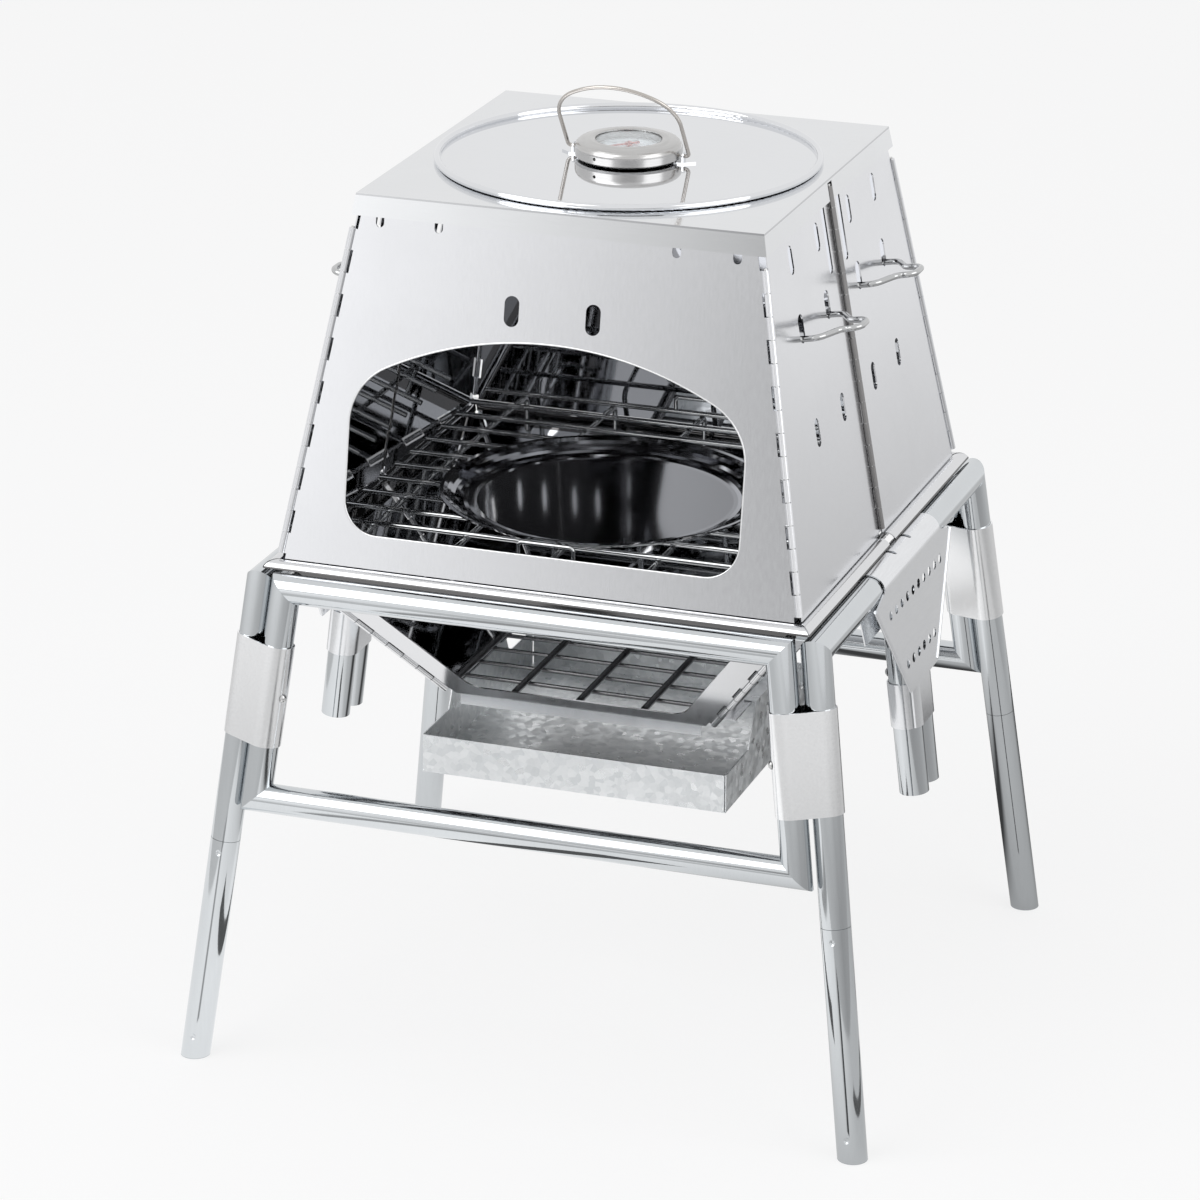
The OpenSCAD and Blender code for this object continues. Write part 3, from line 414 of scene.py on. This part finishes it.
def makeTrayZinc(look):
    material, tree, shader = newMaterial("trayZinc")
    crystals = placeGroup(tree, spangle, Dark=look["dark"], Light=look["light"], Scale=look["scale"])
    shader.inputs["Metallic"].default_value = 1
    link(tree, crystals.outputs["Color"], shader.inputs["Base Color"])
    link(tree, crystals.outputs["Roughness"], shader.inputs["Roughness"])
    link(tree, crystals.outputs["Normal"], shader.inputs["Normal"])
    return material


paintLook = {"scale": 600, "paler": 1.12, "lift": 0.01, "roughSpread": 0.1}


def makePaint(name, color, rough, look=paintLook):
    material, tree, shader = newMaterial(name)
    tone = noiseNode(tree, objectPlace(tree), look["scale"])
    paler = tuple(min(1, c * look["paler"] + look["lift"]) for c in color)
    link(tree, mixNode(tree, "RGBA", tone, color + (1,), paler + (1,)), shader.inputs["Base Color"])
    spread = mathNode(tree, "MULTIPLY", tone, look["roughSpread"])
    link(tree, mathNode(tree, "ADD", rough, spread), shader.inputs["Roughness"])
    return material


glassLook = {"tint": (0.95, 0.98, 1, 1), "ior": 1.45, "hazeScale": 60, "haze": 0.06}


def makeGlass(look):
    material, tree, shader = newMaterial("clearGlass")
    haze = noiseNode(tree, objectPlace(tree), look["hazeScale"])
    link(tree, mathNode(tree, "MULTIPLY", haze, look["haze"]), shader.inputs["Roughness"])
    shader.inputs["Base Color"].default_value = look["tint"]
    shader.inputs["Transmission Weight"].default_value = 1
    shader.inputs["IOR"].default_value = look["ior"]
    return material


dialInk = makePaint("dialInk", (0.04, 0.04, 0.045), 0.5)
finishes = {
    "tube_steel": steels["tubeSteel"], "lock_steel": steels["lockSteel"], "bowl_steel": steels["bowlSteel"],
    "hood_steel": steels["hoodSteel"], "top_steel": steels["topSteel"], "lid_steel": steels["lidSteel"],
    "hinge_wire": steels["hingeSteel"], "handle_wire": steels["handleSteel"],
    "grate_wire": steels["grateSteel"], "charcoal_wire": steels["charcoalSteel"],
    "screw_steel": steels["screwSteel"], "probe_steel": steels["hingeSteel"],
    "case_steel": steels["caseSteel"], "pan_black": makePanBlack(panLook),
    "tray_zinc": makeTrayZinc(trayLook), "clear_glass": makeGlass(glassLook),
    "dial_face": makePaint("dialPaint", (0.80, 0.82, 0.83), 0.45),
    "needle_paint": makePaint("needlePaint", (0.55, 0.05, 0.035), 0.35)}
for part in frame["record"]["subparts"]:
    piece = nodes[part["node"]]
    piece.data.materials.clear()
    # the corner sleeves take a brighter copy of the lock steel, which is painted light
    isSleeve = part["node"].startswith("corner_sleeve")
    piece.data.materials.append(steels["sleevePaintedLightSteel"] if isSleeve else finishes[part["material_slot"]])
print("finishes set on", len(nodes), "pieces")


# wires: handles and bail along the same bends as their solids, and the bead round the mouth; sizes in mm

# outer half width at the hood's foot, height of the foot, lean of the walls
hoodWall = {"low": 187.492, "base": 368, "lean": math.atan(45 / 252)}

handleWire = {"radius": 2.2, "half": 29.5, "tail": 13, "inset": 3.0, "neckFrom": 11.2, "neckTo": 22,
              "tipHalf": 10.6, "out": 35, "bends": (4, 9, 8, 7.5), "along": 66.5, "slotHeight": 168,
              "sides": 18, "stepDeg": 7}


def makeHandle(corner, look, wall):
    half, tip, inset = look["half"], look["tipHalf"], look["inset"]
    left = [(-half - look["tail"], -inset), (-half, -inset), (-half, look["neckFrom"]),
            (-tip, look["neckTo"]), (-tip, look["out"])]
    flat = left + [(-x, y) for x, y in reversed(left)]
    bends = look["bends"] + look["bends"][::-1]
    sideX = 1 if corner.endswith("right") else -1
    sideY = -1 if corner.startswith("front") else 1
    lean = wall["lean"]
    base = wall["low"] - look["slotHeight"] * math.tan(lean)
    points = [Vector((sideX * (base + w * math.cos(lean)), sideY * look["along"] + x,
                      wall["base"] + look["slotHeight"] + w * math.sin(lean))) * mm for x, w in flat]
    bm = bmesh.new()
    path = roundedPath(points, [b * mm for b in bends], look["stepDeg"])
    sweepTube(bm, path, look["radius"] * mm, look["sides"])
    piece = addPiece("handleWire_" + corner, bm, "handle_" + corner, steels["handleSteel"])
    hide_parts("side_handle_" + corner)


for corner in ("front_left", "front_right", "rear_left", "rear_right"):
    makeHandle(corner, handleWire, hoodWall)

mouthEdge = {"width": 284, "sill": 22.5, "crown": 165, "crownRadius": 260, "shoulderRadius": 45,
             "sillRadius": 24, "bead": 0.75, "sides": 10, "bendSteps": 12, "crownSteps": 16, "crownGap": 0.02}


def makeMouthEdge(look, wall):
    # rolled edge round the mouth, on the cut line of the front panel
    lean = wall["lean"]
    half, low, high = look["width"] / 2, look["sill"] / math.cos(lean), look["crown"] / math.cos(lean)
    rs, rc, rk = look["shoulderRadius"], look["crownRadius"], look["sillRadius"]
    shoulder = high - rc + math.sqrt((rc - rs) ** 2 - (half - rs) ** 2)
    turn = math.atan2(shoulder - high + rc, half - rs)
    bend, gap = look["bendSteps"], look["crownGap"]

    def arc(x, y, radius, start, end, steps):
        return [(x + radius * math.cos(start + (end - start) * i / steps),
                 y + radius * math.sin(start + (end - start) * i / steps)) for i in range(steps + 1)]

    right = (arc(half - rk, low + rk, rk, -math.pi / 2, 0, bend) + arc(half - rs, shoulder, rs, 0, turn, bend)
             + arc(0, high - rc, rc, turn + gap, math.pi / 2 - gap, look["crownSteps"]))
    outline = right + [(-x, y) for x, y in reversed(right)]
    path = [Vector((x, -wall["low"] + y * math.sin(lean), wall["base"] + y * math.cos(lean))) * mm
            for x, y in outline]
    bm = bmesh.new()
    sweepTube(bm, path, look["bead"] * mm, look["sides"], closed=True)
    addPiece("mouthEdge", bm, "hood", steels["edgeSteel"])


makeMouthEdge(mouthEdge, hoodWall)

lidBail = {"radius": 1.4, "half": 44.2, "pinEnd": 38.6, "length": 66, "lean": math.radians(35),
           "pivot": 627.0, "crownSlope": math.radians(30), "bends": (3, 30, 55, 30, 3), "sides": 16,
           "stepDeg": 6}


def makeBail(look):
    crownRadius, slope, lean = look["bends"][2], look["crownSlope"], look["lean"]
    peak = look["length"] + crownRadius * (1 / math.cos(slope) - 1)
    shoulder = peak - look["half"] * math.tan(slope)
    right = [(look["pinEnd"], 0), (look["half"], 0), (look["half"], shoulder)]
    flat = right + [(0, peak)] + [(-x, y) for x, y in reversed(right)]
    points = [Vector((x, -y * math.sin(lean), look["pivot"] + y * math.cos(lean))) * mm for x, y in flat]
    bm = bmesh.new()
    path = roundedPath(points, [b * mm for b in look["bends"]], look["stepDeg"])
    sweepTube(bm, path, look["radius"] * mm, look["sides"])
    piece = addPiece("lidBailWire", bm, "bail", steels["bailSteel"])
    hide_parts("lid_bail")


makeBail(lidBail)
print("wires bent")


# dial print: ticks, ring and plain numbers just above the dial; sizes in mm and degrees

# a tick is its length and half its width
dialPrint = {"radius": 20.5, "ticks": 41, "start": 225, "sweep": 270, "longEvery": 10,
             "longTick": (2.6, 0.28), "shortTick": (1.4, 0.13), "ring": 0.35, "ringSteps": 72, "lift": 0.06,
             "numbers": ("0", "100", "200", "300", "400"), "size": 3.6, "numberInset": 6}


def makeDialPrint(look):
    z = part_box("thermometer_dial")[1].z + look["lift"] * mm
    r = look["radius"] * mm
    bm = bmesh.new()

    def polar(radius, angle):
        return Vector((radius * math.cos(angle), radius * math.sin(angle), z))

    def quad(*places):
        bm.faces.new([bm.verts.new(v) for v in places])

    def angleAt(share):
        return math.radians(look["start"]) - math.radians(look["sweep"]) * share

    for i in range(look["ticks"]):
        a = angleAt(i / (look["ticks"] - 1))
        length, half = (s * mm for s in (look["shortTick"] if i % look["longEvery"] else look["longTick"]))
        inner = r - length
        quad(polar(r, a - half / r), polar(r, a + half / r), polar(inner, a + half / inner),
             polar(inner, a - half / inner))
    ringInner = r - look["ring"] * mm
    for i in range(look["ringSteps"]):
        a, b = angleAt(i / look["ringSteps"]), angleAt((i + 1) / look["ringSteps"])
        quad(polar(r, a), polar(r, b), polar(ringInner, b), polar(ringInner, a))
    addPiece("dialScale", bm, "lid", dialInk, smooth=False)
    for i, label in enumerate(look["numbers"]):
        curve = bpy.data.curves.new("dialNumber", "FONT")
        curve.body = label
        curve.size = look["size"] * mm
        curve.align_x = "CENTER"
        curve.align_y = "CENTER"
        text = bpy.data.objects.new("dialNumberText", curve)
        scene.collection.objects.link(text)
        bpy.context.view_layer.update()
        mesh = bpy.data.meshes.new_from_object(text.evaluated_get(bpy.context.evaluated_depsgraph_get()))
        bpy.data.objects.remove(text)
        at = polar(r - look["numberInset"] * mm, angleAt(i / (len(look["numbers"]) - 1)))
        mesh.transform(Matrix.Translation(at))
        mesh.materials.clear()
        mesh.materials.append(dialInk)
        number = bpy.data.objects.new("dialNumber_" + label, mesh)
        scene.collection.objects.link(number)
        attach(number, "lid")


makeDialPrint(dialPrint)
print("dial printed")


# stage

cameraLook = {"at": (1.10695, -3.19986, 1.55630), "right": (0.94278, 0.33340, 0.00360),
              "up": (-0.11955, 0.32795, 0.93710), "forward": (-0.31125, 0.88391, -0.34904),
              "lens": 151.65, "sensor": 36, "clip": (0.05, 60)}


def makeCamera(look):
    camera = bpy.data.objects.new("camera", bpy.data.cameras.new("camera"))
    scene.collection.objects.link(camera)
    camera.data.lens = look["lens"]
    camera.data.sensor_width = look["sensor"]
    camera.data.clip_start, camera.data.clip_end = look["clip"]
    right, up, forward, at = (Vector(look[k]) for k in ("right", "up", "forward", "at"))
    turned = Matrix((right, up, -forward)).transposed()
    camera.matrix_world = Matrix.Translation(at) @ turned.to_4x4()
    scene.camera = camera


worldLook = {"fill": 0.7, "gloss": 0.9}


def makeWorld(look):
    # white to the camera, a little darker in mirrors, dimmer as light
    world = bpy.data.worlds.new("studio")
    world.use_nodes = True
    scene.world = world
    tree = world.node_tree
    background = tree.nodes["Background"]
    background.inputs["Color"].default_value = (1, 1, 1, 1)
    path = addNode(tree, "ShaderNodeLightPath")
    seen = mathNode(tree, "MAXIMUM", path.outputs["Is Camera Ray"], path.outputs["Is Transmission Ray"])
    lit = mathNode(tree, "ADD", look["fill"], mathNode(tree, "MULTIPLY", seen, 1 - look["fill"]))
    gloss = mathNode(tree, "MULTIPLY", path.outputs["Is Glossy Ray"], look["gloss"] - look["fill"])
    link(tree, mathNode(tree, "ADD", lit, gloss), background.inputs["Strength"])


def mixShaders(tree, factor, a, b):
    node = addNode(tree, "ShaderNodeMixShader")
    for socket, source in zip(node.inputs, (factor, a, b)):
        link(tree, source, socket)
    return node.outputs[0]


def showSurface(tree, surface):
    link(tree, surface, tree.nodes["Material Output"].inputs["Surface"])


floorLook = {"size": 12, "cells": 4, "height": -0.0005, "color": (0.86, 0.86, 0.87, 1), "rough": 0.9,
             "specular": 0.1, "white": 0.75}


def makeFloor(look):
    # nearly white where it is seen directly, in a mirror or through glass
    bm = bmesh.new()
    bmesh.ops.create_grid(bm, x_segments=look["cells"], y_segments=look["cells"], size=look["size"])
    floor = newObject("floor", bm)
    floor.location.z = look["height"]
    material, tree, shader = newMaterial("floorWhite")
    shader.inputs["Base Color"].default_value = look["color"]
    shader.inputs["Roughness"].default_value = look["rough"]
    shader.inputs["Specular IOR Level"].default_value = look["specular"]
    path = addNode(tree, "ShaderNodeLightPath")
    direct = mathNode(tree, "MAXIMUM", path.outputs["Is Camera Ray"], path.outputs["Is Glossy Ray"])
    seen = mathNode(tree, "MAXIMUM", direct, path.outputs["Is Transmission Ray"])
    glow = addNode(tree, "ShaderNodeEmission")
    share = mathNode(tree, "MULTIPLY", seen, look["white"])
    showSurface(tree, mixShaders(tree, share, shader.outputs[0], glow.outputs[0]))
    floor.data.materials.append(material)


lamps = {"keyLamp": dict(at=(-1.8, -2.2, 2.6), target=(0, 0, 0.4), size=(3.0, 3.0), power=45),
         "fillLamp": dict(at=(2.6, -0.8, 1.8), target=(0, 0, 0.4), size=(2.2, 2.2), power=18)}


def aim(obj, at, target, axis):
    obj.location = at
    obj.rotation_euler = (Vector(target) - Vector(at)).to_track_quat(axis, "Y").to_euler()


def makeLamp(name, at, target, size, power):
    data = bpy.data.lights.new(name, "AREA")
    data.shape = "RECTANGLE"
    data.size, data.size_y = size
    data.energy = power
    lamp = bpy.data.objects.new(name, data)
    aim(lamp, at, target, "-Z")
    scene.collection.objects.link(lamp)


def newCard(name, bm):
    # object that only mirrors see, with a glow for its material
    card = newObject(name, bm)
    card.visible_camera = False
    card.visible_diffuse = False
    card.visible_shadow = False
    card.visible_transmission = False
    material, tree, shader = newMaterial(name)
    tree.nodes.remove(shader)
    glow = addNode(tree, "ShaderNodeEmission")
    showSurface(tree, glow.outputs[0])
    card.data.materials.append(material)
    return card, tree, glow


# tones of the studio round the oven, as shares of a turn; the far ones fade with the distance; the near
# disc's dark wedge at the right rear (0.67 to 0.71) is painted shadow of the oven on the floor, seen only in
# mirrors
floorTones = {
    "farTones": dict(radius=4.0, height=0.0002, fade=0.68, stops=(
        (0.0, 0.95), (0.19, 1.0), (0.31, 0.8), (0.40, 0.58), (0.50, 0.65), (0.62, 0.84), (0.72, 0.90),
        (0.82, 0.9), (1.0, 0.95))),
    "nearTonesAndPaintedShadow": dict(radius=0.9, height=0.0004, fade=1, stops=(
        (0.0, 0.96), (0.19, 1.08), (0.31, 0.86), (0.40, 0.62), (0.50, 0.6), (0.61, 0.5), (0.67, 0.06),
        (0.71, 0.06), (0.78, 0.6), (0.86, 0.8), (1.0, 0.96)))}
toneDisc = {"segments": 64, "fadeFrom": 1.5, "fadeTo": 3.0}


def makeFloorTones(name, radius, height, fade, stops, disc=toneDisc):
    bm = bmesh.new()
    bmesh.ops.create_circle(bm, cap_ends=True, segments=disc["segments"], radius=radius)
    card, tree, glow = newCard(name, bm)
    card.location.z = height
    place = objectPlace(tree)
    split = splitVector(tree, place)
    turn = mathNode(tree, "ARCTAN2", split[1], split[0])
    ramp = addNode(tree, "ShaderNodeValToRGB")
    link(tree, mathNode(tree, "ADD", mathNode(tree, "DIVIDE", turn, 2 * math.pi), 0.5), ramp.inputs[0])
    elements = ramp.color_ramp.elements
    while len(elements) < len(stops):
        elements.new(0.5)
    for element, (at, tone) in zip(elements, stops):
        element.position = at
        element.color = (tone, tone, tone, 1)
    reach = addNode(tree, "ShaderNodeVectorMath", operation="LENGTH")
    link(tree, place, reach.inputs[0])
    fading = addNode(tree, "ShaderNodeMapRange")
    link(tree, reach.outputs["Value"], fading.inputs["Value"])
    fading.inputs["From Min"].default_value = disc["fadeFrom"]
    fading.inputs["From Max"].default_value = disc["fadeTo"]
    fading.inputs["To Min"].default_value = fade
    link(tree, ramp.outputs[0], glow.inputs["Color"])
    link(tree, fading.outputs[0], glow.inputs["Strength"])


# one dark fan on the floor before each foot: its place, the way it points, and its tones by angle
footStreaks = {"from": 0.1, "long": 0.66, "height": 0.0006, "fans": (
    ((-0.2435, -0.226), -86, ((-9, 0.85), (-5, 0.4), (5, 0.4), (8, 0.85))),
    ((0.2435, -0.226), -86, ((-16, 0.8), (-9, 0.55), (-5, 0.06), (6, 0.06), (8, 0.6))),
    ((-0.2435, 0.226), -67, ((-3.5, 0.12), (3.5, 0.12))),
    ((0.2435, 0.226), -67, ((-3.5, 0.12), (3.5, 0.12))))}


def makeFootStreaks(look):
    # for the lengthwise streak of the tubes
    bm = bmesh.new()
    tone = bm.loops.layers.float_color.new("tone")
    near, far = look["from"], look["long"]
    for (x, y), way, tones in look["fans"]:
        foot = Vector((x, y, 0))
        for (a, toneA), (b, toneB) in zip(tones, tones[1:]):
            turns = [math.radians(way + t) for t in (a, b)]
            ways = [Vector((math.cos(t), math.sin(t), 0)) for t in turns]
            face = bm.faces.new([bm.verts.new(foot + ways[i] * d)
                                 for i, d in ((0, near), (0, far), (1, far), (1, near))])
            for loop, value in zip(face.loops, (toneA, toneA, toneB, toneB)):
                loop[tone] = (value, value, value, 1)
    card, tree, glow = newCard("footStreaks", bm)
    card.location.z = look["height"]
    value = addNode(tree, "ShaderNodeVertexColor", layer_name="tone")
    link(tree, value.outputs[0], glow.inputs["Color"])


# cards with a tone at each edge; a deep one shows only after two mirrors, and the dark flag is such a one:
# painted shade in the reflections inside the oven
cards = {"frontCard": dict(at=(-1.35, -4.0, 0.55), target=(0, -0.18, 0.5), size=(1.3, 0.9), top=1.16,
                           bottom=0.98, left=0.2, right=1.36),
         "paintedShadeFlag": dict(at=(1.03, -2.82, 0.6), target=(0, 0, 0.45), size=(2.0, 1.4), top=0.03,
                          bottom=0.03, left=1, right=1, deep=True)}
deepFrom = 1.5  # between one mirror and two


def makeCard(name, at, target, size, top, bottom, left, right, deep=False):
    bm = bmesh.new()
    bmesh.ops.create_grid(bm, x_segments=1, y_segments=1, size=0.5)
    card, tree, glow = newCard(name, bm)
    aim(card, at, target, "Z")
    card.scale = (size[0], size[1], 1)
    split = splitVector(tree, addNode(tree, "ShaderNodeTexCoord").outputs["Generated"])
    across = mixNode(tree, "FLOAT", split[0], left, right)
    upward = mixNode(tree, "FLOAT", split[1], bottom, top)
    link(tree, mathNode(tree, "MULTIPLY", across, upward), glow.inputs["Strength"])
    if deep:
        path = addNode(tree, "ShaderNodeLightPath")
        clear = addNode(tree, "ShaderNodeBsdfTransparent")
        shown = mathNode(tree, "GREATER_THAN", path.outputs["Glossy Depth"], deepFrom)
        showSurface(tree, mixShaders(tree, shown, clear.outputs[0], glow.outputs[0]))


makeCamera(cameraLook)
makeWorld(worldLook)
makeFloor(floorLook)
for name, look in lamps.items():
    makeLamp(name, **look)
for name, look in floorTones.items():
    makeFloorTones(name, **look)
makeFootStreaks(footStreaks)
for name, look in cards.items():
    makeCard(name, **look)
scene.view_settings.view_transform = "Standard"
print("stage set")
